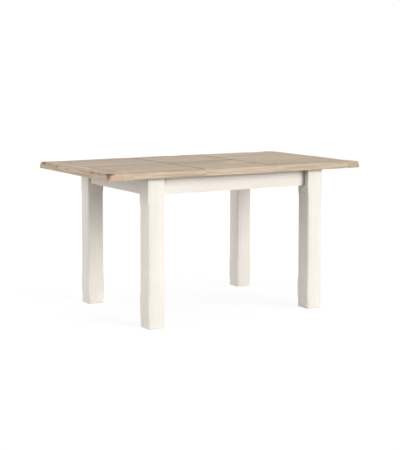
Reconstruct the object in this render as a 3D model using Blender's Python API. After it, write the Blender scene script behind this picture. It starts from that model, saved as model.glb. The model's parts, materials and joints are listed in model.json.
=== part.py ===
"""Extending dining table with a folding centre leaf, shown extended.

The frame (legs, aprons, guide rails, crossbars) stands still.  The two halves of the top slide
outwards on wooden runners.  The centre leaf is two boards hinged on a fold line; its front board
is carried by two pairs of swing arms, which lower the folded leaf into the frame.

Units are metres, +Z is up, +X is the length of the table and -Y is its front.
The origin is on the floor under the middle of the table.
"""
import math

import bmesh
import bpy
from mathutils import Matrix, Vector

# ---------------------------------------------------------------- driving dimensions
GAP = 0.0003            # between pieces that touch
OVERSHOOT = 0.002       # how far a cutter runs past the face that it cuts

HEIGHT = 0.780
TOP_LENGTH = 1.500      # with the leaf up
TOP_WIDTH = 0.840
TOP_THICKNESS = 0.034
LEAF_LENGTH = 0.420     # along X, seam to seam
END_BOARD = 0.077       # width of the cross-grained board at each end
EDGE_INSET = 0.005      # the outer edges lean in by this much
EDGE_DROP = 0.022       # over this height below the top face
SEAM_GAP = 0.0004       # each side of the leaf

LEG = 0.090
LEG_PITCH_X = 0.952
LEG_PITCH_Y = 0.696
LEG_CHAMFER = 0.006     # stopped chamfers on the waist and the foot
LEG_ARRIS = 0.001       # eased edges everywhere else
FOOT_STOP = (0.047, 0.060)          # heights between which each chamfer runs out
WAIST_LOW_STOP = (0.150, 0.174)
WAIST_HIGH_STOP = (0.604, 0.620)
GLIDE_HEIGHT = 0.002
GLIDE_RADIUS = 0.018
GLIDE_CHAMFER = 0.001

APRON_BOTTOM = 0.660
APRON = 0.022           # thickness of the four aprons
END_APRON_SETBACK = 0.015

BLOCK_BOTTOM, BLOCK_TOP = 0.664, 0.704
BLOCK_REACH = 0.078     # how far a corner block runs along the end apron past the leg
BOLT_RADIUS = 0.004
BOLT_Z = 0.684
BOLT_INTO_LEG = 0.040
BOLT_END_CLEARANCE = 0.001
NUT_RADIUS, NUT_HEIGHT = 0.0075, 0.006

RAIL = 0.022            # thickness of guide rails and runners
RAIL_BOTTOM = 0.7075
RAIL_OUTER = 0.301      # |y| of a guide rail's outer face
RUNNER_CLEARANCE = 0.0015
RUNNER_INNER_END = 0.030
RUNNER_OUTER_END = 0.375
GROOVE_Z = 0.7265       # middle height of grooves and tongues
GROOVE_HEIGHT, GROOVE_DEPTH = 0.009, 0.006
TONGUE_HEIGHT, TONGUE_DEPTH = 0.0074, 0.005

STRAP = 0.004           # thickness of the steel crossbars
STRAP_X0, STRAP_X1 = 0.115, 0.150
STRAP_TAB = 0.028       # height of the turned-up ends
EAR = 0.003
EAR_HALF = 0.009

FOLD_GAP = 0.0004
FOLD_ARRIS = 0.0012     # small chamfers along the fold
HINGE_X = 0.130         # concealed hinges at +X and -X of this
HINGE_PIVOT = 0.005     # a link's pivot below the top face and in from the fold edge
HINGE_PIN_RADIUS = 0.0012
LINK_LENGTH = 0.020
LINK_HALF = 0.0015
LINK_THICKNESS = 0.002
LINK_SIDE = 0.0002      # each link's layer starts this far from the hinge's middle
CUP_COVER = 0.0018      # wood left over a hinge cup
CUP_WIDTH, CUP_DEPTH, CUP_HEIGHT = 0.016, 0.0105, 0.0275
CUP_PIN_COVER = 0.001   # metal left at the ends of a link's pin
SLOT_WIDTH, SLOT_DEPTH, SLOT_HEIGHT = 0.006, 0.0080, 0.0255

ARM_X = 0.1815          # middle of the swing arms
ARM_THICKNESS = 0.003
ARM_HALF = 0.006
PIVOT_DROP = 0.0065     # upper pivots below the leaf
LOWER_PIVOT_Z = 0.6665
FRONT_PIVOT_Y, REAR_PIVOT_Y = -0.235, -0.095
STOWED_CLEARANCE = 0.0016
SHAFT_RADIUS = 0.0035
PIN_RADIUS = 0.0025
BRACKET = 0.002         # thickness
BRACKET_INNER_X = 0.155
BRACKET_HALF = 0.010
BRACKET_BELOW_PIVOT = 0.005
ARM_SIDE_PLAY = 0.0015
PIN_INNER_REACH = 0.006             # the pin runs this far inwards past the arm
PIN_HEAD_RADIUS, PIN_HEAD = 0.004, 0.002
REAR_PIN_SLACK = 3 * GAP            # opens the loop of arms, leaf and frame
STRAP_CLEARANCE = 0.0005            # under the stowed leaf

TONGUE_LENGTH, TONGUE_THICKNESS = 0.012, 0.010    # of the panels, in their end boards
TONGUE_SHORT = 0.030    # the tongue stops this far from each edge
TONGUE_ROOT = 0.006     # and starts this far inside its panel

# ---------------------------------------------------------------- dimensions that follow
TOP_UNDERSIDE = HEIGHT - TOP_THICKNESS
FRAME_TOP = TOP_UNDERSIDE - GAP
HALF_LENGTH, HALF_WIDTH = TOP_LENGTH / 2, TOP_WIDTH / 2
SEAM_X = LEAF_LENGTH / 2
LEAF_X = SEAM_X - SEAM_GAP

LEG_X, LEG_Y = LEG_PITCH_X / 2, LEG_PITCH_Y / 2
LEG_INNER_X, LEG_INNER_Y = LEG_X - LEG / 2, LEG_Y - LEG / 2
END_APRON_OUTER = LEG_X + LEG / 2 - END_APRON_SETBACK
END_APRON_INNER = END_APRON_OUTER - APRON
LONG_APRON_OUTER = LEG_Y + APRON / 2
LONG_APRON_INNER = LONG_APRON_OUTER - APRON

LEAF_TRAVEL_Y = HALF_WIDTH / 2 + FOLD_GAP / 4
LEAF_DROP = 2 * TOP_THICKNESS + FOLD_GAP + STOWED_CLEARANCE
UPPER_PIVOT_Z = TOP_UNDERSIDE - PIVOT_DROP
RISE_UP = UPPER_PIVOT_Z - LOWER_PIVOT_Z                  # upper pivot above lower, leaf up
RISE_STOWED = RISE_UP - LEAF_DROP                        # and with the leaf put away
REACH_DIFFERENCE = (RISE_STOWED**2 - RISE_UP**2) / LEAF_TRAVEL_Y
REACH_UP = (LEAF_TRAVEL_Y + REACH_DIFFERENCE) / 2        # lower pivot behind upper, leaf up

STRAP_TOP = TOP_UNDERSIDE - LEAF_DROP - STRAP_CLEARANCE
STRAP_BOTTOM = STRAP_TOP - STRAP


# ---------------------------------------------------------------- materials
def material(name, colour, roughness, metallic=0.0):
    made = bpy.data.materials.new(name)
    made.use_nodes = True
    shader = made.node_tree.nodes["Principled BSDF"]
    shader.inputs["Base Color"].default_value = (*colour, 1.0)
    shader.inputs["Roughness"].default_value = roughness
    shader.inputs["Metallic"].default_value = metallic
    made.diffuse_color = (*colour, 1.0)
    return made


def limed_oak():
    return material("limed_oak", (0.52, 0.43, 0.34), 0.6)


def cream_paint():
    return material("cream_paint", (0.87, 0.83, 0.77), 0.5)


def raw_beech():
    return material("raw_beech", (0.62, 0.45, 0.28), 0.65)


def zinc_steel():
    return material("zinc_steel", (0.55, 0.56, 0.57), 0.35, 1.0)


def white_nylon():
    return material("white_nylon", (0.80, 0.79, 0.76), 0.5)


# ---------------------------------------------------------------- modelling helpers
def clear_scene():
    for old in list(bpy.data.objects):
        bpy.data.objects.remove(old, do_unlink=True)


def body(name, pivot=(0.0, 0.0, 0.0)):
    """An empty that the pieces of one moving body hang from, on that body's joint axis."""
    empty = bpy.data.objects.new(name, None)
    empty.empty_display_size = 0.03
    empty.location = pivot
    bpy.context.scene.collection.objects.link(empty)
    return empty


def loft(sections):
    """A closed mesh through rings of equal length, capped at both ends."""
    mesh = bmesh.new()
    rings = [[mesh.verts.new(point) for point in ring] for ring in sections]
    for lower, upper in zip(rings, rings[1:]):
        for i in range(len(lower)):
            j = (i + 1) % len(lower)
            mesh.faces.new((lower[i], lower[j], upper[j], upper[i]))
    mesh.faces.new(rings[0])
    mesh.faces.new(rings[-1])
    bmesh.ops.recalc_face_normals(mesh, faces=mesh.faces)
    return mesh


def make(name, mesh, finish, parent=None, smooth=False):
    """An object from a mesh in world places.  Its origin goes to its parent's place."""
    origin = parent.location if parent else Vector()
    mesh.transform(Matrix.Translation(-origin))
    data = bpy.data.meshes.new(name)
    mesh.to_mesh(data)
    mesh.free()
    if smooth:
        data.shade_smooth()
        data.set_sharp_from_angle(angle=math.radians(40))
    made = bpy.data.objects.new(name, data)
    bpy.context.scene.collection.objects.link(made)
    made.parent = parent
    data.materials.append(finish)
    return made


def ring_x(x, outline):
    return [(x, y, z) for y, z in outline]


def prism_x(x0, x1, outline):
    """An outline of (y, z) points extruded along X."""
    return loft([ring_x(x0, outline), ring_x(x1, outline)])


def prism_z(z0, z1, outline):
    return loft([[(x, y, z) for x, y in outline] for z in (z0, z1)])


def box(low, high):
    (x0, y0, z0), (x1, y1, z1) = low, high
    return prism_z(z0, z1, [(x0, y0), (x1, y0), (x1, y1), (x0, y1)])


def circle(centre, radius, sides):
    return [(centre[0] + radius * math.cos(math.tau * i / sides),
             centre[1] + radius * math.sin(math.tau * i / sides)) for i in range(sides)]


def turned_x(y, z, steps, sides=20):
    """A turned piece along X through (y, z).  steps are (x, radius) pairs."""
    return loft([ring_x(x, circle((y, z), radius, sides)) for x, radius in steps])


def stadium(start, end, radius, steps=6):
    """The outline of a bar with round ends between two centres."""
    angle = math.atan2(end[1] - start[1], end[0] - start[0])
    outline = []
    for centre, first in ((end, angle - math.pi / 2), (start, angle + math.pi / 2)):
        for i in range(steps + 1):
            turn = first + math.pi * i / steps
            outline.append((centre[0] + radius * math.cos(turn),
                            centre[1] + radius * math.sin(turn)))
    return outline


def combine(target, mesh, operation):
    """Cuts a mesh from an object, or joins it on, with a Boolean modifier."""
    tool = make(target.name + "_" + operation.lower(), mesh, target.data.materials[0])
    tool.hide_render = True
    tool.display_type = "WIRE"
    step = target.modifiers.new(operation.lower(), "BOOLEAN")
    step.operation = operation
    step.object = tool


def cut(target, mesh):
    combine(target, mesh, "DIFFERENCE")


def join(target, mesh):
    combine(target, mesh, "UNION")


def mirrored(mesh, sx, sy):
    """Flips a mesh across X or Y when sx or sy is -1."""
    mesh.transform(Matrix.Diagonal((sx, sy, 1, 1)))
    if sx * sy < 0:
        bmesh.ops.reverse_faces(mesh, faces=mesh.faces)
    return mesh


CORNERS = (("front_left", -1, -1), ("front_right", 1, -1),
           ("back_left", -1, 1), ("back_right", 1, 1))


# ---------------------------------------------------------------- fixed frame
def leg_section(z, chamfer):
    h, c = LEG / 2, chamfer
    corners = [(-h, -h + c), (-h + c, -h), (h - c, -h), (h, -h + c),
               (h, h - c), (h - c, h), (-h + c, h), (-h, h - c)]
    return [(LEG_X + x, LEG_Y + y, z) for x, y in corners]


def bolt_axis_point(distance):
    """A point on the corner bolt's axis, measured outwards from the leg's inner corner."""
    step = distance / math.sqrt(2)
    return Vector((LEG_INNER_X + step, LEG_INNER_Y + step, BOLT_Z))


def along_bolt(steps, outline):
    """Loft along the bolt's axis.  steps are (distance, kind, radius); outline gives each ring."""
    across, up = Vector((1, -1, 0)).normalized(), Vector((0, 0, 1))
    rings = []
    for distance, kind, radius in steps:
        centre = bolt_axis_point(distance)
        rings.append([centre + across * u + up * v for u, v in outline(kind, radius)])
    return loft(rings)


def bolt_ring(kind, radius, sides=12):
    """A circle, or a hexagon with a point at each corner and each mid-side."""
    if kind == "round":
        return circle((0, 0), radius, sides)
    ring = []
    for i in range(sides):
        reach = radius if i % 2 == 0 else radius * math.cos(math.pi / 6)
        turn = math.tau * i / sides
        ring.append((reach * math.cos(turn), reach * math.sin(turn)))
    return ring


def make_legs(paint, nylon):
    stops = [(GLIDE_HEIGHT + GAP, LEG_CHAMFER),
             (FOOT_STOP[0], LEG_CHAMFER), (FOOT_STOP[1], LEG_ARRIS),
             (WAIST_LOW_STOP[0], LEG_ARRIS), (WAIST_LOW_STOP[1], LEG_CHAMFER),
             (WAIST_HIGH_STOP[0], LEG_CHAMFER), (WAIST_HIGH_STOP[1], LEG_ARRIS),
             (FRAME_TOP, LEG_ARRIS)]
    glide_steps = ((0, GLIDE_RADIUS - GLIDE_CHAMFER), (GLIDE_CHAMFER, GLIDE_RADIUS),
                   (GLIDE_HEIGHT, GLIDE_RADIUS))
    hole = BOLT_RADIUS + GAP
    for corner, sx, sy in CORNERS:
        shape = loft([leg_section(z, chamfer) for z, chamfer in stops])
        leg = make("leg_" + corner, mirrored(shape, sx, sy), paint)
        bore = along_bolt([(-OVERSHOOT, "round", hole),
                           (BOLT_INTO_LEG + BOLT_END_CLEARANCE, "round", hole)], bolt_ring)
        cut(leg, mirrored(bore, sx, sy))
        glide = loft([[(x, y, z) for x, y in circle((LEG_X, LEG_Y), radius, sides=24)]
                      for z, radius in glide_steps])
        make("foot_glide_" + corner, mirrored(glide, sx, sy), nylon, smooth=True)


def make_aprons(paint):
    long_half, end_half = LEG_INNER_X - GAP, LEG_INNER_Y - GAP
    for name, side in (("front", -1), ("back", 1)):
        shape = box((-long_half, LONG_APRON_INNER, APRON_BOTTOM), (long_half, LONG_APRON_OUTER, FRAME_TOP))
        make("apron_" + name, mirrored(shape, 1, side), paint)
    for name, side in (("left", -1), ("right", 1)):
        shape = box((END_APRON_INNER, -end_half, APRON_BOTTOM), (END_APRON_OUTER, end_half, FRAME_TOP))
        make("apron_" + name, mirrored(shape, side, 1), paint)


def make_corner_blocks(beech, steel):
    """Blocks that bridge each corner behind the leg, drawn up by a bolt into the leg."""
    x_face, y_face = END_APRON_INNER - GAP, LONG_APRON_INNER - GAP
    leg_x, leg_y = LEG_INNER_X - GAP, LEG_INNER_Y - GAP
    low_y = LEG_INNER_Y - BLOCK_REACH
    low_x = x_face - (y_face - low_y)
    outline = [(x_face, low_y), (x_face, leg_y), (leg_x, leg_y), (leg_x, y_face), (low_x, y_face)]
    inner_face = (x_face + low_y - LEG_INNER_X - LEG_INNER_Y) / math.sqrt(2)
    nut = inner_face - GAP
    for corner, sx, sy in CORNERS:
        block = make("corner_block_" + corner,
                     mirrored(prism_z(BLOCK_BOTTOM, BLOCK_TOP, outline), sx, sy), beech)
        hole = BOLT_RADIUS + GAP
        bore = along_bolt([(inner_face - OVERSHOOT, "round", hole),
                           (hole + OVERSHOOT, "round", hole)], bolt_ring)
        cut(block, mirrored(bore, sx, sy))
        bolt = along_bolt([(nut - NUT_HEIGHT, "hex", NUT_RADIUS), (nut, "hex", NUT_RADIUS),
                           (nut, "round", BOLT_RADIUS), (BOLT_INTO_LEG, "round", BOLT_RADIUS)],
                          bolt_ring)
        make("corner_bolt_" + corner, mirrored(bolt, sx, sy), steel)


def make_crossbars(steel):
    """Pressed straps across the frame, with turned-up ends and ears for the swing shafts."""
    y_out = LONG_APRON_INNER - GAP
    y_in = y_out - STRAP
    tab_top = STRAP_BOTTOM + STRAP_TAB
    outline = [(-y_out, STRAP_BOTTOM), (y_out, STRAP_BOTTOM), (y_out, tab_top), (y_in, tab_top),
               (y_in, STRAP_TOP), (-y_in, STRAP_TOP), (-y_in, tab_top), (-y_out, tab_top)]
    for name, side in (("left", -1), ("right", 1)):
        bar = make("crossbar_" + name,
                   mirrored(prism_x(STRAP_X0, STRAP_X1, outline), side, 1), steel)
        for pivot in (FRONT_PIVOT_Y + REACH_UP, REAR_PIVOT_Y + REACH_UP):
            ear = box((STRAP_X1 - EAR, pivot - EAR_HALF, APRON_BOTTOM),
                      (STRAP_X1, pivot + EAR_HALF, STRAP_BOTTOM + STRAP / 2))
            join(bar, mirrored(ear, side, 1))
            bore = turned_x(pivot, LOWER_PIVOT_Z, [(STRAP_X1 - EAR - OVERSHOOT, SHAFT_RADIUS + GAP),
                                                   (STRAP_X1 + OVERSHOOT, SHAFT_RADIUS + GAP)])
            cut(bar, mirrored(bore, side, 1))


def make_guides(beech):
    """Grooved rails between the end aprons, and the blocks that carry them on the crossbars."""
    x_end = END_APRON_INNER - GAP
    y_out, y_in = RAIL_OUTER, RAIL_OUTER - RAIL
    low, high = GROOVE_Z - GROOVE_HEIGHT / 2, GROOVE_Z + GROOVE_HEIGHT / 2
    d = GROOVE_DEPTH
    outline = [(y_in, RAIL_BOTTOM), (y_out, RAIL_BOTTOM), (y_out, low), (y_out - d, low),
               (y_out - d, high), (y_out, high), (y_out, FRAME_TOP), (y_in, FRAME_TOP),
               (y_in, high), (y_in + d, high), (y_in + d, low), (y_in, low)]
    for name, side in (("front", -1), ("back", 1)):
        make("guide_rail_" + name, mirrored(prism_x(-x_end, x_end, outline), 1, side), beech)
    for corner, sx, sy in CORNERS:
        spacer = box((STRAP_X0, y_in, STRAP_TOP + GAP), (STRAP_X1, y_out, RAIL_BOTTOM - GAP))
        make("guide_spacer_" + corner, mirrored(spacer, sx, sy), beech)


# ---------------------------------------------------------------- sliding top halves
def edge_outline(half_width):
    """The (y, z) outline of the top, with both long edges leaning in above EDGE_DROP."""
    lean = HEIGHT - EDGE_DROP
    return [(-half_width, TOP_UNDERSIDE), (half_width, TOP_UNDERSIDE), (half_width, lean),
            (half_width - EDGE_INSET, HEIGHT), (-half_width + EDGE_INSET, HEIGHT),
            (-half_width, lean)]


def end_board_shape():
    """The right end board: its two ends and its outer side lean in."""
    inner = HALF_LENGTH - END_BOARD + GAP

    def ring(z, inset):
        x, y = HALF_LENGTH - inset, HALF_WIDTH - inset
        return [(inner, -y, z), (x, -y, z), (x, y, z), (inner, y, z)]

    return loft([ring(TOP_UNDERSIDE, 0), ring(HEIGHT - EDGE_DROP, 0), ring(HEIGHT, EDGE_INSET)])


def tongue_box(clearance):
    joint, middle = HALF_LENGTH - END_BOARD, HEIGHT - TOP_THICKNESS / 2
    y = HALF_WIDTH - TONGUE_SHORT + clearance
    half = TONGUE_THICKNESS / 2 + clearance
    return box((joint - TONGUE_ROOT, -y, middle - half),
               (joint + TONGUE_LENGTH + clearance, y, middle + half))


def runner_outline(inner_face, tongue_side):
    """A runner between |y| = inner_face and inner_face + RAIL, its tongue facing the guide rail."""
    y0, y1 = inner_face, inner_face + RAIL
    low, high = GROOVE_Z - TONGUE_HEIGHT / 2, GROOVE_Z + TONGUE_HEIGHT / 2
    reach = TONGUE_DEPTH
    if tongue_side < 0:
        return [(y0, RAIL_BOTTOM), (y1, RAIL_BOTTOM), (y1, FRAME_TOP), (y0, FRAME_TOP),
                (y0, high), (y0 - reach, high), (y0 - reach, low), (y0, low)]
    return [(y0, RAIL_BOTTOM), (y1, RAIL_BOTTOM), (y1, low), (y1 + reach, low),
            (y1 + reach, high), (y1, high), (y1, FRAME_TOP), (y0, FRAME_TOP)]


def make_top_halves(oak, beech):
    outside = RAIL_OUTER + RUNNER_CLEARANCE
    inside = RAIL_OUTER - RAIL - RUNNER_CLEARANCE - RAIL
    for name, side, runner_face, tongue_side in (("left", -1, outside, -1), ("right", 1, inside, 1)):
        slider = body(name + "_top")
        panel_shape = prism_x(SEAM_X, HALF_LENGTH - END_BOARD, edge_outline(HALF_WIDTH))
        panel = make("top_panel_" + name, mirrored(panel_shape, side, 1), oak, slider)
        join(panel, mirrored(tongue_box(0), side, 1))
        board = make("end_board_" + name, mirrored(end_board_shape(), side, 1), oak, slider)
        cut(board, mirrored(tongue_box(GAP), side, 1))
        for place, sy in (("front", -1), ("back", 1)):
            shape = prism_x(RUNNER_INNER_END, RUNNER_OUTER_END, runner_outline(runner_face, tongue_side))
            make(f"runner_{name}_{place}", mirrored(shape, side, sy), beech, slider)


# ---------------------------------------------------------------- folding leaf
def leaf_outline():
    """The (y, z) outline of the front leaf board, with a small chamfer at the fold."""
    fold = -FOLD_GAP / 2
    return [(-HALF_WIDTH, TOP_UNDERSIDE), (fold, TOP_UNDERSIDE), (fold, HEIGHT - FOLD_ARRIS),
            (fold - FOLD_ARRIS, HEIGHT), (-HALF_WIDTH + EDGE_INSET, HEIGHT),
            (-HALF_WIDTH, HEIGHT - EDGE_DROP)]


def make_hinge_half(name, place, x, side, steel, board, board_body, link_body):
    """One half of a concealed hinge: a cup let into the fold edge, and the link pivoted in it.

    The two links of a hinge meet at their free ends, under the fold when the leaf is flat, and
    swing out past both edges as it folds.
    """
    edge, top = -FOLD_GAP / 2 - GAP, HEIGHT - CUP_COVER - GAP
    half = CUP_WIDTH / 2
    shell = box((x - half, edge - CUP_DEPTH, top - CUP_HEIGHT), (x + half, edge, top))
    cup = make(f"hinge_cup_{name}_{place}", mirrored(shell, 1, side), steel, board_body)
    slot = box((x - SLOT_WIDTH / 2, edge - SLOT_DEPTH, top - SLOT_HEIGHT),
               (x + SLOT_WIDTH / 2, edge + OVERSHOOT, top + OVERSHOOT))
    cut(cup, mirrored(slot, 1, side))
    mortise = box((x - half - GAP, edge - CUP_DEPTH - GAP, top - CUP_HEIGHT - GAP),
                  (x + half + GAP, edge + OVERSHOOT, top + GAP))
    cut(board, mirrored(mortise, 1, side))

    pivot = (-FOLD_GAP / 2 - HINGE_PIVOT, HEIGHT - HINGE_PIVOT)
    across = HINGE_PIVOT + FOLD_GAP / 2
    meeting = (0.0, pivot[1] - math.sqrt(LINK_LENGTH**2 - across**2))
    layer = sorted((-side * LINK_SIDE, -side * (LINK_SIDE + LINK_THICKNESS)))
    bar = prism_x(x + layer[0], x + layer[1], stadium(pivot, meeting, LINK_HALF, steps=5))
    link = make(f"hinge_link_{name}_{place}", mirrored(bar, 1, side), steel, link_body)
    reach = half - CUP_PIN_COVER
    pin = turned_x(*pivot, [(x - reach, HINGE_PIN_RADIUS), (x + reach, HINGE_PIN_RADIUS)], sides=12)
    join(link, mirrored(pin, 1, side))
    hole = HINGE_PIN_RADIUS + GAP
    bore = turned_x(*pivot, [(x - reach - GAP, hole), (x + reach + GAP, hole)], sides=12)
    cut(cup, mirrored(bore, 1, side))


def bracket_shape(y):
    """The right bracket under the leaf: a base, and an ear beside the swing arm."""
    top, base = TOP_UNDERSIDE - GAP, TOP_UNDERSIDE - GAP - BRACKET
    ear_x = ARM_X - ARM_THICKNESS / 2 - ARM_SIDE_PLAY
    low = UPPER_PIVOT_Z - BRACKET_BELOW_PIVOT
    outline = [(BRACKET_INNER_X, base), (ear_x - BRACKET, base), (ear_x - BRACKET, low),
               (ear_x, low), (ear_x, top), (BRACKET_INNER_X, top)]
    return loft([[(x, y + side * BRACKET_HALF, z) for x, z in outline] for side in (-1, 1)])


def make_arm_set(name, upper_y, steel, leaf, arms):
    """Two arms on one shaft, the pins at their upper ends, and the brackets on the leaf."""
    lower, upper = (upper_y + REACH_UP, LOWER_PIVOT_Z), (upper_y, UPPER_PIVOT_Z)
    inner, outer = ARM_X - ARM_THICKNESS / 2, ARM_X + ARM_THICKNESS / 2
    shaft_end = outer + ARM_SIDE_PLAY
    make("swing_shaft_" + name,
         turned_x(*lower, [(-shaft_end, SHAFT_RADIUS), (shaft_end, SHAFT_RADIUS)]), steel, arms, True)
    for end, sx in (("left", -1), ("right", 1)):
        bar = make(f"swing_arm_{name}_{end}",
                   mirrored(prism_x(inner, outer, stadium(lower, upper, ARM_HALF)), sx, 1), steel, arms)
        for pivot, radius in ((lower, SHAFT_RADIUS), (upper, PIN_RADIUS)):
            bore = turned_x(*pivot, [(inner - OVERSHOOT, radius + GAP), (outer + OVERSHOOT, radius + GAP)])
            cut(bar, mirrored(bore, sx, 1))
        head = outer + GAP
        inner_end = inner - PIN_INNER_REACH
        pin = turned_x(*upper, [(inner_end, PIN_RADIUS), (head, PIN_RADIUS),
                                (head, PIN_HEAD_RADIUS), (head + PIN_HEAD, PIN_HEAD_RADIUS)], sides=16)
        make(f"pivot_pin_{name}_{end}", mirrored(pin, sx, 1), steel, arms, True)
        bracket = make(f"arm_bracket_{name}_{end}", mirrored(bracket_shape(upper_y), sx, 1), steel, leaf)
        hole = PIN_RADIUS + (GAP if name == "front" else REAR_PIN_SLACK)
        bore = turned_x(*upper, [(inner_end - OVERSHOOT, hole), (inner, hole)], sides=16)
        cut(bracket, mirrored(bore, sx, 1))


def make_leaf(oak, steel):
    front_arms = body("front_arms", (0, FRONT_PIVOT_Y + REACH_UP, LOWER_PIVOT_Z))
    rear_arms = body("rear_arms", (0, REAR_PIVOT_Y + REACH_UP, LOWER_PIVOT_Z))
    leaf_front = body("leaf_front", (0, FRONT_PIVOT_Y, UPPER_PIVOT_Z))
    leaf_back = body("leaf_back", (0, 0, HEIGHT + FOLD_GAP / 2))
    for name, side, leaf_body in (("front", 1, leaf_front), ("back", -1, leaf_back)):
        board = make("leaf_half_" + name,
                     mirrored(prism_x(-LEAF_X, LEAF_X, leaf_outline()), 1, side), oak, leaf_body)
        pivot_y = -side * (FOLD_GAP / 2 + HINGE_PIVOT)
        links = body("fold_links_" + name, (0, pivot_y, HEIGHT - HINGE_PIVOT))
        for place, x in (("left", -HINGE_X), ("right", HINGE_X)):
            make_hinge_half(name, place, x, side, steel, board, leaf_body, links)
    make_arm_set("front", FRONT_PIVOT_Y, steel, leaf_front, front_arms)
    make_arm_set("rear", REAR_PIVOT_Y, steel, leaf_front, rear_arms)


def main():
    clear_scene()
    oak, paint, beech, steel = limed_oak(), cream_paint(), raw_beech(), zinc_steel()
    make_legs(paint, white_nylon())
    make_aprons(paint)
    make_corner_blocks(beech, steel)
    make_crossbars(steel)
    make_guides(beech)
    make_top_halves(oak, beech)
    make_leaf(oak, steel)


main()
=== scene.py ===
"""Looks of an extending dining table: a limed oak top on a cream painted frame."""
import json
import math

import bmesh
import bpy
from mathutils import Matrix, Vector, noise


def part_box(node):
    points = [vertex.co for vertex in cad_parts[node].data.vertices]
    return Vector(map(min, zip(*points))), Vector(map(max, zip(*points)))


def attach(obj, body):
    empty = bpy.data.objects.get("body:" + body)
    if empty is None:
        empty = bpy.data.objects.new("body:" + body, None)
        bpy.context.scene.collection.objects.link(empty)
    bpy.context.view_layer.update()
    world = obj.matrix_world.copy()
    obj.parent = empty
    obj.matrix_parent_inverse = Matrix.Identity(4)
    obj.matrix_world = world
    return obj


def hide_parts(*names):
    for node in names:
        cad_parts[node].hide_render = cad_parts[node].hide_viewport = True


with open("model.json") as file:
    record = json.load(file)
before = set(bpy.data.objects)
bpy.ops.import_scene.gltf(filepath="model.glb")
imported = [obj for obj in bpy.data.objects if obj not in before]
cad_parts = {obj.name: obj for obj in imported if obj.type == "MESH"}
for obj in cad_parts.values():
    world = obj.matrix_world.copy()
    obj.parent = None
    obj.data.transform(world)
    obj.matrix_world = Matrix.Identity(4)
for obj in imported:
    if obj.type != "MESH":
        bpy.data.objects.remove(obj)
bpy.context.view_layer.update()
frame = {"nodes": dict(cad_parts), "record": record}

BODY_OF = {node: body for body, nodes in frame["record"]["behaviour"]["bodies"].items() for node in nodes}

# ---------------------------------------------------------------- sizes of the top, in metres
EDGE_DROP = 0.022         # the outer edges of the top lean in over this height
EDGE_LEAN = 0.005         # by this much
BOTTOM_ARRIS = 0.0008
OUTER_FADE = 0.002        # a flat strip inside each worn arris, which keeps the top's shading flat
OUTER_STEP = 0.007        # distance between points along a worn outer edge
SEAM_STEP = 0.020         # and along any other edge
ARC_STEPS = 3             # faces across an arris
CORNER_STEPS = 3          # faces round a corner in plan
OUTER_CORNER = 0.0035     # radius in plan of the table's own corners
INNER_CORNER = 0.0006     # and of the corners where boards meet

# how the worn outer edges vary along the table: (length of the waves, seed)
LEAN_WAVE = (0.11, 3.0)
SHOULDER_WAVE = (0.15, 1.0)
SWELL_WAVE = (0.12, 9.0)
RIPPLE_WAVE = (0.035, 5.0)
LEAN_SWING = 0.30                                 # as a share of EDGE_LEAN
SHOULDER_SWING = 0.003
RIPPLE = 0.35                                     # share of the ripple in the swell
WORN_DROP = (0.0036, 0.0075, 0.0012, 0.0085)      # of an arris: mean, swing, least and most
WORN_REACH = (0.013, 0.032, 0.0025, 0.036)
WEAR_LOSS = 0.6                                   # how much wear and wax fade over an arris
WAX_LOSS = 0.3

# edges where boards meet: size of the arris, wax in it, and how far wax is rubbed onto the top
SEAM_ARRIS = {"seam": 0.0034, "fold": 0.0036, "joint": 0.0016}
SEAM_WAX = {"seam": 0.85, "fold": 1.0, "joint": 0.7}
SEAM_FADE = {"seam": 0.007, "fold": 0.012, "joint": 0.002}
JOINT_GAP = 0.0003                # between a top panel and its end board

HINGE_X = 0.130
CUP_HALF_WIDTH = 0.0083
CUP_REACH = 0.0113                # depth of a hinge mortise from the fold
CUP_TOP, CUP_FOOT = 0.0018, 0.0299    # of the mortise, below the top face
CUP_OPEN = 0.002                  # the cutter runs past the fold by this much

# ---------------------------------------------------------------- sizes of the legs and the frame
LEG_ARRIS = 0.0012
LEG_CHAMFER = 0.006
LEG_STOPS = (             # start and end height of each stop, and the chamfer at both
    (0.047, 0.060, LEG_CHAMFER, LEG_ARRIS),
    (0.150, 0.174, LEG_ARRIS, LEG_CHAMFER),
    (0.604, 0.620, LEG_CHAMFER, LEG_ARRIS),
)
STOP_STEPS = 8
END_ARRIS = 0.0010        # round the two ends of a leg
EASE = 0.0009             # the edges of a leg's chamfer are eased by this much
EASE_SHARE = 0.35         # or by this share of the chamfer, if that is less
EASE_TURN = 0.6           # share of the ease that lies on the chamfer

CORNERS = ("front_left", "front_right", "back_left", "back_right")

SMOOTH_ANGLE = math.radians(35)   # new pieces are shaded smooth over flatter edges than this
EASED_ANGLE = math.radians(40)    # CAD pieces are eased along sharper edges than this
EASED_SEGMENTS = 2


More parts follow.
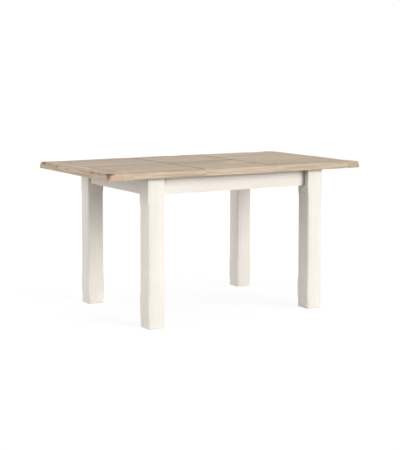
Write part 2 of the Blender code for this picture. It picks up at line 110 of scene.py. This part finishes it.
# ---------------------------------------------------------------- node graphs
class Graph:
    """Builds one material.  Methods take numbers, colours or sockets and return a socket."""

    def __init__(self, name):
        self.material = bpy.data.materials.new(name)
        self.material.use_nodes = True
        self.tree = self.material.node_tree
        self.shader = self.tree.nodes["Principled BSDF"]

    def node(self, kind, inputs=None, output=0, **settings):
        made = self.tree.nodes.new("ShaderNode" + kind)
        for name, value in settings.items():
            setattr(made, name, value)
        for key, value in (inputs or {}).items():
            if isinstance(value, bpy.types.NodeSocket):
                self.tree.links.new(value, made.inputs[key])
            else:
                made.inputs[key].default_value = value
        return made.outputs[output]

    def math(self, operation, a, b=0.0):
        return self.node("Math", {0: a, 1: b}, operation=operation)

    def add(self, a, b):
        return self.math("ADD", a, b)

    def subtract(self, a, b):
        return self.math("SUBTRACT", a, b)

    def multiply(self, a, b):
        return self.math("MULTIPLY", a, b)

    def divide(self, a, b):
        return self.math("DIVIDE", a, b)

    def centred(self, value, span):
        """Turns a value from 0 to 1 into one from -span / 2 to span / 2."""
        return self.multiply(self.subtract(value, 0.5), span)

    def vector(self, operation, a, b):
        return self.node("VectorMath", {0: a, 1: b}, operation=operation)

    def length(self, vector):
        return self.node("VectorMath", {0: vector}, 1, operation="LENGTH")

    def join(self, x, y, z):
        return self.node("CombineXYZ", {0: x, 1: y, 2: z})

    def split(self, vector):
        made = self.tree.nodes.new("ShaderNodeSeparateXYZ")
        self.tree.links.new(vector, made.inputs[0])
        return made.outputs[0], made.outputs[1], made.outputs[2]

    def noise(self, vector, scale=1.0, detail=2.0, roughness=0.5):
        return self.node("TexNoise", {"Vector": vector, "Scale": scale, "Detail": detail,
                                      "Roughness": roughness})

    def stretched(self, vector, cells, detail=2.0, roughness=0.5):
        """Noise with its own number of cells per metre along X, Y and Z."""
        return self.noise(self.vector("MULTIPLY", vector, cells), 1.0, detail, roughness)

    def remap(self, value, low, high, to_low=0.0, to_high=1.0):
        """A smooth step from to_low at low to to_high at high.  low may be the larger of the two."""
        return self.node("MapRange", {0: value, 1: low, 2: high, 3: to_low, 4: to_high},
                         interpolation_type="SMOOTHSTEP")

    def mix(self, factor, a, b, blend="MIX"):
        return self.node("Mix", {0: factor, 6: a, 7: b}, 2, data_type="RGBA", blend_type=blend)

    def tint(self, base, mask, strength, colour):
        """Lays a colour over base where mask is 1, at the given strength."""
        return self.mix(self.multiply(mask, strength), base, colour)

    def place(self):
        return self.node("TexCoord", output=3)

    def attribute(self, name):
        return self.node("Attribute", output=2, attribute_name=name)

    def random(self, value):
        """Three random numbers from 0 to 1 that depend on one value."""
        return self.split(self.node("TexWhiteNoise", {"W": value}, 1, noise_dimensions="1D"))

    def finish(self, colour, roughness, height, depth, specular=0.5):
        """Links the looks to the shader.  depth is the relief, in metres, where height is 1."""
        shader = self.shader
        self.tree.links.new(colour, shader.inputs["Base Color"])
        self.tree.links.new(roughness, shader.inputs["Roughness"])
        shader.inputs["Specular IOR Level"].default_value = specular
        bump = self.node("Bump", {"Strength": 1.0, "Distance": depth, "Height": height})
        self.tree.links.new(bump, shader.inputs["Normal"])
        return self.material


def rgb(red, green, blue):
    """A colour given as it looks on screen, from 0 to 255, in the linear values that shaders use."""
    return tuple(((c / 255 + 0.055) / 1.055) ** 2.4 for c in (red, green, blue)) + (1.0,)


def grey(value):
    """A grey given in linear values."""
    return (value, value, value, 1.0)


# ---------------------------------------------------------------- oak
STAVE = 0.082            # width of the strips that a board is glued up from
STAVE_LENGTH = 0.55
STAVE_WOBBLE = 0.01      # of the glue lines, as a share of STAVE
RING = 0.0042            # spacing of the growth rings
RING_DRIFT = 0.030       # how far the rings wander
PITH_HEIGHT = 0.70       # lowest height above the floor of the pith that the rings run round
PITH_SIDE, PITH_RISE, PITH_TILT = 0.13, 0.05, 0.10     # how its place and slope vary between pieces
GRAIN_SPREAD = 31.0      # metres of grain that the pieces are cut from

DRIFT_CELLS = (2.2, 14.0, 14.0)          # cells of noise per metre
STREAK_CELLS = (1.6, 34.0, 34.0)
FIBRE_CELLS = (22.0, 760.0, 760.0)
PORE_CELLS = (70.0, 1500.0, 1500.0)
LAYER_CELLS = (4.0, 120.0, 150.0)
STAIN_CELLS = (7.0, 7.0, 40.0)

STREAK_DARK, STREAK_PALE = rgb(180, 162, 140), rgb(212, 198, 180)
LATE_WOOD, EARLY_WOOD = rgb(158, 136, 112), rgb(224, 214, 200)
FIBRE, LIMED_PORE = rgb(218, 206, 189), rgb(234, 227, 214)
COOL_PIECE, WARM_PIECE, PINK_PIECE = rgb(228, 224, 221), rgb(255, 251, 244), rgb(208, 178, 152)
BARE_DARK, BARE_PALE = rgb(166, 140, 110), rgb(208, 189, 164)
CREST_STAIN = rgb(140, 112, 84)
LEFT_END_GRAIN, RIGHT_END_GRAIN = rgb(196, 158, 132), rgb(152, 132, 104)
END_SPECKLE = rgb(200, 172, 146)
DARK_WAX, KNOT = rgb(104, 82, 62), rgb(104, 72, 48)


def limed_oak(name, grain, seed, knots, end_tone):
    """Oak brushed with white wax: glued-up staves with growth rings, pores, worn edges and knots.

    grain is the axis that it runs along.  knots are (centre, size, depth of colour).  end_tone is
    the colour of the end grain, which shows only on the boards that run across the table.
    """
    g = Graph("limed_oak_" + name)
    place = g.place()
    x, y, z = g.split(place)
    along, across = (x, y) if grain == "X" else (y, x)

    # staves, and the pieces in a stave; the factors only keep their random draws apart
    wobble = g.centred(g.noise(g.join(along, seed, 0.0), 1.1, 0.0), STAVE_WOBBLE)
    stave_place = g.divide(g.add(across, seed * 0.37 + 5.0), STAVE)
    stave = g.math("FLOOR", g.add(stave_place, wobble))
    stave_shift = g.random(g.add(stave, seed * 7.0))[0]
    piece_place = g.add(g.divide(along, STAVE_LENGTH), g.multiply(stave_shift, 9.0))
    piece = g.add(g.math("FLOOR", piece_place), g.multiply(stave, 17.0))
    random_a, random_b, random_c = g.random(g.add(piece, seed * 3.0))

    # growth rings
    in_stave = g.multiply(g.subtract(g.math("FRACT", stave_place), 0.5), STAVE)
    ring_y = g.add(in_stave, g.centred(random_a, PITH_SIDE))
    ring_z = g.add(g.add(g.subtract(z, PITH_HEIGHT), g.multiply(random_c, -PITH_RISE)),
                   g.multiply(along, g.centred(random_b, PITH_TILT)))
    long_place = g.join(g.add(along, g.multiply(random_a, GRAIN_SPREAD)), across, z)
    drift = g.centred(g.stretched(long_place, DRIFT_CELLS), RING_DRIFT)
    radius = g.add(g.length(g.join(0.0, ring_y, ring_z)), drift)
    turn = g.math("FRACT", g.divide(radius, RING))
    early = g.multiply(g.remap(turn, 0.0, 0.10), g.remap(turn, 0.75, 0.16))
    late = g.remap(turn, 0.45, 0.98)

    # long streaks, fibre and pores
    streak = g.stretched(long_place, STREAK_CELLS, 3.0, 0.55)
    fibre = g.stretched(long_place, FIBRE_CELLS, 2.0, 0.6)
    dash = g.stretched(long_place, PORE_CELLS, 1.0)
    pore = g.multiply(g.remap(dash, 0.56, 0.66), g.add(g.multiply(early, 0.8), 0.2))

    wood = g.mix(g.remap(streak, 0.30, 0.72), STREAK_DARK, STREAK_PALE)
    wood = g.tint(wood, late, 0.42, LATE_WOOD)
    wood = g.tint(wood, early, 0.30, EARLY_WOOD)
    wood = g.tint(wood, g.remap(fibre, 0.35, 0.75), 0.30, FIBRE)
    wood = g.tint(wood, pore, 0.45, LIMED_PORE)
    wood = g.mix(0.85, wood, g.mix(random_b, COOL_PIECE, WARM_PIECE), "MULTIPLY")
    wood = g.tint(wood, g.remap(random_c, 0.55, 1.0), 0.22, PINK_PIECE)

    # the worn edges of a board are barer than its waxed top, and stained along their crest
    worn = g.attribute("worn")
    layer = g.stretched(long_place, LAYER_CELLS, 3.0, 0.65)
    wood = g.tint(wood, worn, 0.62, g.mix(g.remap(layer, 0.36, 0.62), BARE_DARK, BARE_PALE))
    crest = g.multiply(g.multiply(worn, g.subtract(1.0, worn)), 4.0)
    stain = g.remap(g.stretched(place, STAIN_CELLS, 3.0), 0.48, 0.66)
    wood = g.tint(wood, g.multiply(crest, stain), 0.45, CREST_STAIN)
    if grain == "Y":
        facing_y = g.math("ABSOLUTE", g.split(g.node("TexCoord", output=1))[1])
        speckle = g.noise(place, 230.0, 3.0, 0.7)
        end_wood = g.mix(g.remap(speckle, 0.35, 0.65), end_tone, END_SPECKLE)
        wood = g.tint(wood, g.remap(facing_y, 0.5, 0.9), 0.75, end_wood)

    # dark wax in the seams, and knots
    patchy = g.remap(g.noise(place, 60.0), 0.25, 0.55, 0.72, 1.0)
    wood = g.tint(wood, g.attribute("wax"), patchy, DARK_WAX)
    for centre, size, depth in knots:
        away = g.length(g.vector("DIVIDE", g.vector("SUBTRACT", place, centre), size))
        ragged = g.add(away, g.centred(g.noise(place, 180.0, 3.0), 0.9))
        wood = g.tint(wood, g.remap(ragged, 1.25, 0.55), depth, KNOT)

    rough = g.remap(streak, 0.2, 0.8, 0.50, 0.64)
    relief = g.subtract(g.multiply(late, 0.5), g.multiply(pore, 0.9))
    relief = g.add(relief, g.multiply(fibre, 0.35))
    return g.finish(wood, rough, relief, depth=0.00022, specular=0.35)


# ---------------------------------------------------------------- paint, beech, steel and nylon
LEG_STROKE = (90.0, 90.0, 4.0)           # brush marks per metre along X, Y and Z
LONG_APRON_STROKE = (4.0, 90.0, 160.0)
END_APRON_STROKE = (90.0, 4.0, 160.0)
PAINT_SHADE, PAINT_LIGHT = rgb(236, 229, 219), rgb(241, 235, 226)
# the last of these is the colour of painted shade, laid in corners and under the top
PAINT_MARK, PAINT_RUBBED, PAINTED_SHADE = rgb(222, 212, 198), rgb(205, 190, 168), rgb(128, 116, 98)
RUB_RADIUS = 0.0025      # paint is rubbed this near to an edge
SHADE_REACH = 0.045       # and painted shade darkens it where another surface is nearer than this
SHADE_FOOT, SHADE_FULL = 0.10, 0.40        # from nothing at the first height to all of it at the other
SHADE_MOST = 0.80

BEECH_DARK, BEECH_PALE, BEECH_FLECK = rgb(196, 160, 120), rgb(216, 184, 146), rgb(164, 122, 84)
BEECH_CELLS, FLECK_CELLS = (5.0, 120.0, 120.0), (160.0, 900.0, 900.0)
STEEL_DARK, STEEL_PALE, STEEL_DULL = rgb(176, 180, 184), rgb(200, 203, 206), rgb(150, 150, 148)
NYLON_DARK, NYLON_PALE = rgb(214, 211, 203), rgb(226, 224, 217)


def cream_paint(name, stroke):
    """Brushed satin paint, rubbed on its edges, with painted shade in its corners and under the top."""
    g = Graph("cream_paint_" + name)
    place = g.place()
    marks = g.stretched(place, stroke, 3.0, 0.6)
    cloud = g.noise(place, 5.0, 3.0)
    paint = g.mix(g.remap(cloud, 0.3, 0.7), PAINT_SHADE, PAINT_LIGHT)
    paint = g.tint(paint, g.remap(marks, 0.35, 0.75), 0.30, PAINT_MARK)

    true_normal = g.node("NewGeometry", output=1)
    soft_normal = g.node("Bevel", {"Radius": RUB_RADIUS}, samples=4)
    agree = g.node("VectorMath", {0: true_normal, 1: soft_normal}, 1, operation="DOT_PRODUCT")
    rub = g.multiply(g.remap(agree, 0.985, 0.90), g.remap(g.noise(place, 38.0, 4.0), 0.52, 0.72))
    paint = g.tint(paint, rub, 0.35, PAINT_RUBBED)

    # painted shade: the paint is darkened where other surfaces are near, in corners, beside the legs and
    # under the top, and this fades out towards the floor
    open_to_air = g.node("AmbientOcclusion", {"Distance": SHADE_REACH}, 1, samples=8)
    above_floor = g.remap(g.split(place)[2], SHADE_FOOT, SHADE_FULL, 0.0, SHADE_MOST)
    paint = g.tint(paint, g.remap(open_to_air, 0.82, 0.35), above_floor, PAINTED_SHADE)

    rough = g.remap(marks, 0.2, 0.8, 0.44, 0.56)
    return g.finish(paint, rough, marks, depth=0.00009, specular=0.40)


def raw_beech():
    g = Graph("raw_beech")
    place = g.place()
    grain = g.stretched(place, BEECH_CELLS, 3.0, 0.6)
    fleck = g.stretched(place, FLECK_CELLS, 1.0)
    wood = g.mix(g.remap(grain, 0.3, 0.7), BEECH_DARK, BEECH_PALE)
    wood = g.tint(wood, g.remap(fleck, 0.58, 0.70), 0.45, BEECH_FLECK)
    rough = g.remap(grain, 0.2, 0.8, 0.58, 0.70)
    return g.finish(wood, rough, grain, depth=0.00015, specular=0.35)


def zinc_steel():
    """Zinc-plated steel with a faint spangle and duller clouds."""
    g = Graph("zinc_steel")
    place = g.place()
    spangle = g.split(g.node("TexVoronoi", {"Vector": place, "Scale": 260.0}, 1))[0]
    cloud = g.noise(place, 45.0, 4.0, 0.6)
    steel = g.mix(spangle, STEEL_DARK, STEEL_PALE)
    steel = g.tint(steel, g.remap(cloud, 0.5, 0.75), 0.4, STEEL_DULL)
    rough = g.remap(cloud, 0.25, 0.75, 0.30, 0.48)
    g.shader.inputs["Metallic"].default_value = 1.0
    return g.finish(steel, rough, cloud, depth=0.00005)


def white_nylon():
    g = Graph("white_nylon")
    place = g.place()
    cloud = g.noise(place, 90.0, 3.0)
    nylon = g.mix(g.remap(cloud, 0.3, 0.7), NYLON_DARK, NYLON_PALE)
    rough = g.remap(cloud, 0.2, 0.8, 0.42, 0.58)
    return g.finish(nylon, rough, cloud, depth=0.00004)


# ---------------------------------------------------------------- making pieces
def add_piece(name, mesh, finish, body, replaces):
    """Turns a bmesh into a shaded piece that rides on a body in place of CAD nodes."""
    data = bpy.data.meshes.new(name)
    mesh.to_mesh(data)
    mesh.free()
    data.shade_smooth()
    data.set_sharp_from_angle(angle=SMOOTH_ANGLE)
    made = bpy.data.objects.new(name, data)
    bpy.context.scene.collection.objects.link(made)
    data.materials.append(finish)
    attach(made, body)
    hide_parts(*replaces)
    return made


def loft(rings, marks=None):
    """A closed mesh through rings of equal length.  marks gives each point its wax and wear."""
    mesh = bmesh.new()
    layers = [mesh.verts.layers.float.new(name) for name in ("wax", "worn")] if marks else []
    lofted = []
    for index, ring in enumerate(rings):
        row = [mesh.verts.new(point) for point in ring]
        if marks:
            for vertex, mark in zip(row, marks[index]):
                for layer, value in zip(layers, mark):
                    vertex[layer] = value
        lofted.append(row)
    for lower, upper in zip(lofted, lofted[1:]):
        for i in range(len(lower)):
            j = (i + 1) % len(lower)
            mesh.faces.new((lower[i], lower[j], upper[j], upper[i]))
    mesh.faces.new(reversed(lofted[0]))
    mesh.faces.new(lofted[-1])
    return mesh


def cut_box(piece, low, high):
    """Cuts a box out of a piece and leaves nothing behind but the new mesh."""
    centre, size = (Vector(low) + Vector(high)) / 2, Vector(high) - Vector(low)
    cutter_mesh = bmesh.new()
    bmesh.ops.create_cube(cutter_mesh, size=1.0)
    cutter_mesh.transform(Matrix.Translation(centre) @ Matrix.Diagonal((*size, 1)))
    data = bpy.data.meshes.new("cutter")
    cutter_mesh.to_mesh(data)
    cutter_mesh.free()
    cutter = bpy.data.objects.new("cutter", data)
    bpy.context.scene.collection.objects.link(cutter)
    step = piece.modifiers.new("mortise", "BOOLEAN")
    step.operation = "DIFFERENCE"
    step.object = cutter
    graph = bpy.context.evaluated_depsgraph_get()
    graph.update()
    done = bpy.data.meshes.new_from_object(piece.evaluated_get(graph))
    piece.modifiers.remove(step)
    piece.data = done
    bpy.data.objects.remove(cutter)
    bpy.data.meshes.remove(data)


# ---------------------------------------------------------------- boards
def wave(place, length, seed):
    """Smooth noise from -1 to 1 along an edge, with features about as long as length."""
    return noise.noise(Vector((place[0] / length, place[1] / length, seed)))


def worn_size(swell, mean, swing, least, most):
    return min(max(mean + swing * swell, least), most)


def edge_profile(kind, place, low, high):
    """(inset, height, wax, wear) of each ring, from the underside up, at a place on the outline.

    kind is "outer" for a worn edge, or "seam", "fold" or "joint" for an upright one between boards.
    """
    if kind == "outer":
        lean = EDGE_LEAN * (1.0 + LEAN_SWING * wave(place, *LEAN_WAVE))
        shoulder = EDGE_DROP + SHOULDER_SWING * wave(place, *SHOULDER_WAVE)
        swell = wave(place, *SWELL_WAVE) + RIPPLE * wave(place, *RIPPLE_WAVE)
        drop = worn_size(swell, *WORN_DROP)
        reach = worn_size(swell, *WORN_REACH)
        fade, wax, wear = OUTER_FADE, 0.0, 1.0
    else:
        lean, shoulder = 0.0, EDGE_DROP
        drop = reach = SEAM_ARRIS[kind]
        fade, wax, wear = SEAM_FADE[kind], SEAM_WAX[kind], 0.0
    rings = [(BOTTOM_ARRIS, low, wax, wear), (0.0, low + BOTTOM_ARRIS, wax, wear),
             (0.0, high - shoulder, wax, wear)]
    start = Vector((lean * (1 - drop / shoulder), high - drop))
    corner, end = Vector((lean, high)), Vector((lean + reach, high))
    for step in range(ARC_STEPS + 1):
        t = step / ARC_STEPS
        inset, height = start * (1 - t) ** 2 + corner * 2 * t * (1 - t) + end * t ** 2
        rings.append((inset, height, wax * (1 - WAX_LOSS * t), wear * (1 - WEAR_LOSS * t ** 4)))
    rings.append((lean + reach + fade, high, 0.0, 0.0))
    return rings


def corner_radius(kind, other):
    return OUTER_CORNER if kind == other == "outer" else INNER_CORNER


def board(low, high, kinds):
    """A board in the box low-high.  kinds are its front, right, back and left edges."""
    starts = [Vector((low.x, low.y)), Vector((high.x, low.y)),
              Vector((high.x, high.y)), Vector((low.x, high.y))]
    ways = [Vector((1, 0)), Vector((0, 1)), Vector((-1, 0)), Vector((0, -1))]
    inward = ways[1:] + ways[:1]
    rings = [[] for _ in edge_profile("seam", starts[0], low.z, high.z)]
    marks = [[] for _ in rings]
    for side, kind in enumerate(kinds):
        after, before = (side + 1) % 4, (side - 1) % 4
        start, stop = starts[side], starts[after]
        length = (stop - start).length
        count = max(2, round(length / (OUTER_STEP if kind == "outer" else SEAM_STEP)))
        first = edge_profile(kinds[before], start, low.z, high.z)
        last = edge_profile(kinds[after], stop, low.z, high.z)
        first_radius = corner_radius(kind, kinds[before])
        last_radius = corner_radius(kind, kinds[after])

        # along this side
        for step in range(1, count):
            t = step / count
            own = edge_profile(kind, start + ways[side] * length * t, low.z, high.z)
            for k, (inset, height, *mark) in enumerate(own):
                left = first[k][0] + first_radius
                right = length - last[k][0] - last_radius
                spot = start + ways[side] * (left + (right - left) * t) + inward[side] * inset
                rings[k].append((spot.x, spot.y, height))
                marks[k].append(mark)

        # round the corner at its end, passing from this side's profile to the next one's
        own = edge_profile(kind, stop, low.z, high.z)
        for step in range(CORNER_STEPS + 1):
            share = step / CORNER_STEPS
            turn = share * math.pi / 2
            for k, ring in enumerate(rings):
                centre = (stop + inward[side] * (own[k][0] + last_radius)
                          + inward[after] * (last[k][0] + last_radius))
                spot = (centre - inward[side] * last_radius * math.cos(turn)
                        - inward[after] * last_radius * math.sin(turn))
                height, *mark = (a * (1 - share) + b * share for a, b in zip(own[k][1:], last[k][1:]))
                ring.append((spot.x, spot.y, height))
                marks[k].append(mark)
    return loft(rings, marks)


# ---------------------------------------------------------------- the top
LEFT_KNOTS = (            # centre, size along X, Y and Z, and depth of colour
    ((-0.7440, -0.4180, 0.7790), (0.0330, 0.0380, 0.0085), 0.90),
    ((-0.7450, -0.4180, 0.7680), (0.0130, 0.0120, 0.0140), 0.75),
    ((-0.7500, -0.4200, 0.7540), (0.0050, 0.0050, 0.0100), 0.50),
    ((-0.7450, -0.2350, 0.7750), (0.0100, 0.0350, 0.0050), 0.55),
    ((-0.7470, -0.3100, 0.7760), (0.0080, 0.0300, 0.0040), 0.40),
    ((-0.7470, 0.0600, 0.7680), (0.0100, 0.0300, 0.0035), 0.45),
    ((-0.7470, 0.1940, 0.7700), (0.0100, 0.0160, 0.0050), 0.55),
    ((-0.7450, 0.3700, 0.7740), (0.0140, 0.0320, 0.0080), 0.60),
)

BOARDS = (                # node, grain, seed, knots, end grain, and the kind of each edge
    ("top_panel_left", "X", 1.0, (), None, ("outer", "seam", "outer", "joint")),
    ("top_panel_right", "X", 2.3, (), None, ("outer", "joint", "outer", "seam")),
    ("end_board_left", "Y", 3.7, LEFT_KNOTS, LEFT_END_GRAIN, ("outer", "joint", "outer", "outer")),
    ("end_board_right", "Y", 4.9, (), RIGHT_END_GRAIN, ("outer", "outer", "outer", "joint")),
    ("leaf_half_front", "X", 6.1, (), None, ("outer", "seam", "fold", "seam")),
    ("leaf_half_back", "X", 7.3, (), None, ("fold", "seam", "outer", "seam")),
)


def board_box(node):
    """A board's box, without the tongue that runs from a top panel into its end board."""
    low, high = (Vector(corner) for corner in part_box(node))
    if node == "top_panel_left":
        low.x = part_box("end_board_left")[1][0] + JOINT_GAP
    if node == "top_panel_right":
        high.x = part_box("end_board_right")[0][0] - JOINT_GAP
    return low, high


def cut_mortises(piece, fold, inside, top):
    """Cuts two hinge cups' mortises into the edge at y = fold.  inside is the way into the board."""
    near, far = sorted((fold + inside * CUP_REACH, fold - inside * CUP_OPEN))
    for x in (-HINGE_X, HINGE_X):
        cut_box(piece, (x - CUP_HALF_WIDTH, near, top - CUP_FOOT),
                (x + CUP_HALF_WIDTH, far, top - CUP_TOP))


def make_top():
    for node, grain, seed, knots, end_tone, kinds in BOARDS:
        low, high = board_box(node)
        finish = limed_oak(node, grain, seed, knots, end_tone)
        body = BODY_OF[node]
        piece = add_piece(node + "_oak", board(low, high, kinds), finish, body, [node])
        if node == "leaf_half_front":
            cut_mortises(piece, high.y, -1, high.z)
        if node == "leaf_half_back":
            cut_mortises(piece, low.y, 1, high.z)


# ---------------------------------------------------------------- legs
def leg_chamfer(z):
    """Chamfer width at a height: wide at the foot and the waist, and run out at the stops."""
    width = LEG_CHAMFER
    for start, end, before, after in LEG_STOPS:
        if z >= start:
            share = min(1.0, (z - start) / (end - start))
            width = before + (after - before) * (1 - math.cos(math.pi * share)) / 2
    return width


def leg_heights(low, high):
    heights = [low, low + END_ARRIS]
    for start, end, _, _ in LEG_STOPS:
        heights += [start + (end - start) * i / STOP_STEPS for i in range(STOP_STEPS + 1)]
    return heights + [high - END_ARRIS, high]


def leg_ring(x, y, half, z):
    """Four corners, each a flat chamfer with both its edges eased."""
    chamfer = leg_chamfer(z)
    ease = min(EASE, chamfer * EASE_SHARE)
    turn = ease * EASE_TURN
    outline = ((chamfer + ease, 0.0), (chamfer - turn, turn), (turn, chamfer - turn), (0.0, chamfer + ease))
    ring = []
    for sx, sy in ((-1, -1), (1, -1), (1, 1), (-1, 1)):
        points = [(x + sx * (half - a), y + sy * (half - b), z) for a, b in outline]
        ring += reversed(points) if sx == sy else points
    return ring


def make_legs(finish):
    for corner in CORNERS:
        node = "leg_" + corner
        low, high = (Vector(place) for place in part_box(node))
        x, y = (low.x + high.x) / 2, (low.y + high.y) / 2
        half = (high.x - low.x) / 2
        bottom, *heights, top = leg_heights(low.z, high.z)
        rings = [leg_ring(x, y, half - END_ARRIS, bottom)]
        rings += [leg_ring(x, y, half, z) for z in heights]
        rings += [leg_ring(x, y, half - END_ARRIS, top)]
        add_piece(node + "_painted", loft(rings), finish, BODY_OF[node], [node])


# ---------------------------------------------------------------- CAD pieces that stay
def dress(node, finish, width):
    """Gives a CAD piece its material, and eases its edges."""
    piece = frame["nodes"][node]
    if not piece.material_slots:
        piece.data.materials.append(finish)
    for slot in piece.material_slots:
        slot.material = finish
    if width:
        step = piece.modifiers.new("eased_edges", "BEVEL")
        step.width = width
        step.segments = EASED_SEGMENTS
        step.limit_method = "ANGLE"
        step.angle_limit = EASED_ANGLE


def dress_frame():
    along_x = cream_paint("long_aprons", LONG_APRON_STROKE)
    along_y = cream_paint("end_aprons", END_APRON_STROKE)
    beech, steel, nylon = raw_beech(), zinc_steel(), white_nylon()
    finishes = {          # start of the nodes' names: material, and width of the eased edges
        "apron_front": (along_x, 0.0015), "apron_back": (along_x, 0.0015),
        "apron_left": (along_y, 0.0015), "apron_right": (along_y, 0.0015),
        "corner_block": (beech, 0.0012), "guide_rail": (beech, 0.0006), "guide_spacer": (beech, 0.0010),
        "runner": (beech, 0.0006), "corner_bolt": (steel, 0.0004), "crossbar": (steel, 0.0005),
        "hinge_cup": (steel, 0.0002), "hinge_link": (steel, 0.0002), "swing_arm": (steel, 0.0004),
        "swing_shaft": (steel, 0.0004), "pivot_pin": (steel, 0.0003), "arm_bracket": (steel, 0.0003),
        "foot_glide": (nylon, 0.0),
    }
    for node in frame["nodes"]:
        for start, (finish, width) in finishes.items():
            if node.startswith(start):
                dress(node, finish, width)


# ---------------------------------------------------------------- studio
FLOOR_SIZE = 60.0
FLOOR_BOUNCE = 0.55       # reflectance of the floor
FLOOR_CLOUD = 0.02        # and how much it varies
FLOOR_ROUGHNESS = 0.9
FLOOR_GLOW = 1.18         # brightness that is mixed in where the camera looks at the floor
FLOOR_SHADE = 0.25        # share of the floor's real shading in that mix
SKY_COLOUR, SKY_LIGHT = (0.98, 0.99, 1.0, 1.0), 0.35
BACKDROP_LIGHT = 1.05
LIGHTS = (                # name, where it comes from, strength, width in degrees
    ("key_light", (0.44, -0.81, 0.34), 2.35, 36),
    ("fill_light", (-0.88, 0.30, 0.20), 1.80, 60),
    ("top_light", (0.0, -0.1, 1.0), 0.90, 70),
)

CAMERA_PLACE = (-3.0277, -5.1792, 1.289)
CAMERA_PITCH, CAMERA_TURN = 4.5, 30.3088      # degrees down from level, and to the right of +Y
CAMERA_LENS, CAMERA_SENSOR = 89.59, 36.0      # in millimetres
CAMERA_SHIFT = -0.1568


def pale_floor():
    """A white studio floor.  The camera sees it lifted almost to white; other rays see it plain."""
    g = Graph("studio_floor")
    cloud = g.noise(g.place(), 3.0)
    colour = g.mix(cloud, grey(FLOOR_BOUNCE), grey(FLOOR_BOUNCE + FLOOR_CLOUD))
    g.tree.links.new(colour, g.shader.inputs["Base Color"])
    g.shader.inputs["Roughness"].default_value = FLOOR_ROUGHNESS
    g.shader.inputs["Specular IOR Level"].default_value = 0.0
    plain = g.shader.outputs[0]
    glow = g.node("Emission", {"Color": grey(1.0), "Strength": FLOOR_GLOW})
    lifted = g.node("MixShader", {0: FLOOR_SHADE, 1: glow, 2: plain})
    seen = g.node("LightPath", output=0)
    mixed = g.node("MixShader", {0: seen, 1: plain, 2: lifted})
    g.tree.links.new(mixed, g.tree.nodes["Material Output"].inputs["Surface"])
    return g.material


def make_floor():
    mesh = bmesh.new()
    bmesh.ops.create_grid(mesh, x_segments=4, y_segments=4, size=FLOOR_SIZE / 2)
    data = bpy.data.meshes.new("studio_floor")
    mesh.to_mesh(data)
    mesh.free()
    floor = bpy.data.objects.new("studio_floor", data)
    bpy.context.scene.collection.objects.link(floor)
    data.materials.append(pale_floor())


def make_world():
    """A dim sky that lights the table, and a white backdrop that only the camera sees."""
    world = bpy.data.worlds.new("studio")
    bpy.context.scene.world = world
    world.use_nodes = True
    nodes, links = world.node_tree.nodes, world.node_tree.links
    sky = nodes["Background"]
    sky.inputs["Color"].default_value = SKY_COLOUR
    sky.inputs["Strength"].default_value = SKY_LIGHT
    backdrop = nodes.new("ShaderNodeBackground")
    backdrop.inputs["Color"].default_value = grey(1.0)
    backdrop.inputs["Strength"].default_value = BACKDROP_LIGHT
    path = nodes.new("ShaderNodeLightPath")
    pick = nodes.new("ShaderNodeMixShader")
    links.new(path.outputs["Is Camera Ray"], pick.inputs[0])
    links.new(sky.outputs[0], pick.inputs[1])
    links.new(backdrop.outputs[0], pick.inputs[2])
    links.new(pick.outputs[0], nodes["World Output"].inputs["Surface"])


def make_lights():
    for name, source, strength, width in LIGHTS:
        lamp = bpy.data.lights.new(name, "SUN")
        lamp.energy = strength
        lamp.angle = math.radians(width)
        light = bpy.data.objects.new(name, lamp)
        light.rotation_euler = Vector(source).to_track_quat("Z", "Y").to_euler()
        bpy.context.scene.collection.objects.link(light)
    bpy.context.scene.view_settings.view_transform = "Standard"


def make_camera():
    lens = bpy.data.cameras.new("camera")
    lens.lens = CAMERA_LENS
    lens.sensor_width = CAMERA_SENSOR
    lens.shift_y = CAMERA_SHIFT
    camera = bpy.data.objects.new("camera", lens)
    camera.location = CAMERA_PLACE
    camera.rotation_euler = (math.radians(90 - CAMERA_PITCH), 0.0, math.radians(-CAMERA_TURN))
    bpy.context.scene.collection.objects.link(camera)
    bpy.context.scene.camera = camera


make_top()
make_legs(cream_paint("legs", LEG_STROKE))
dress_frame()
make_floor()
make_world()
make_lights()
make_camera()
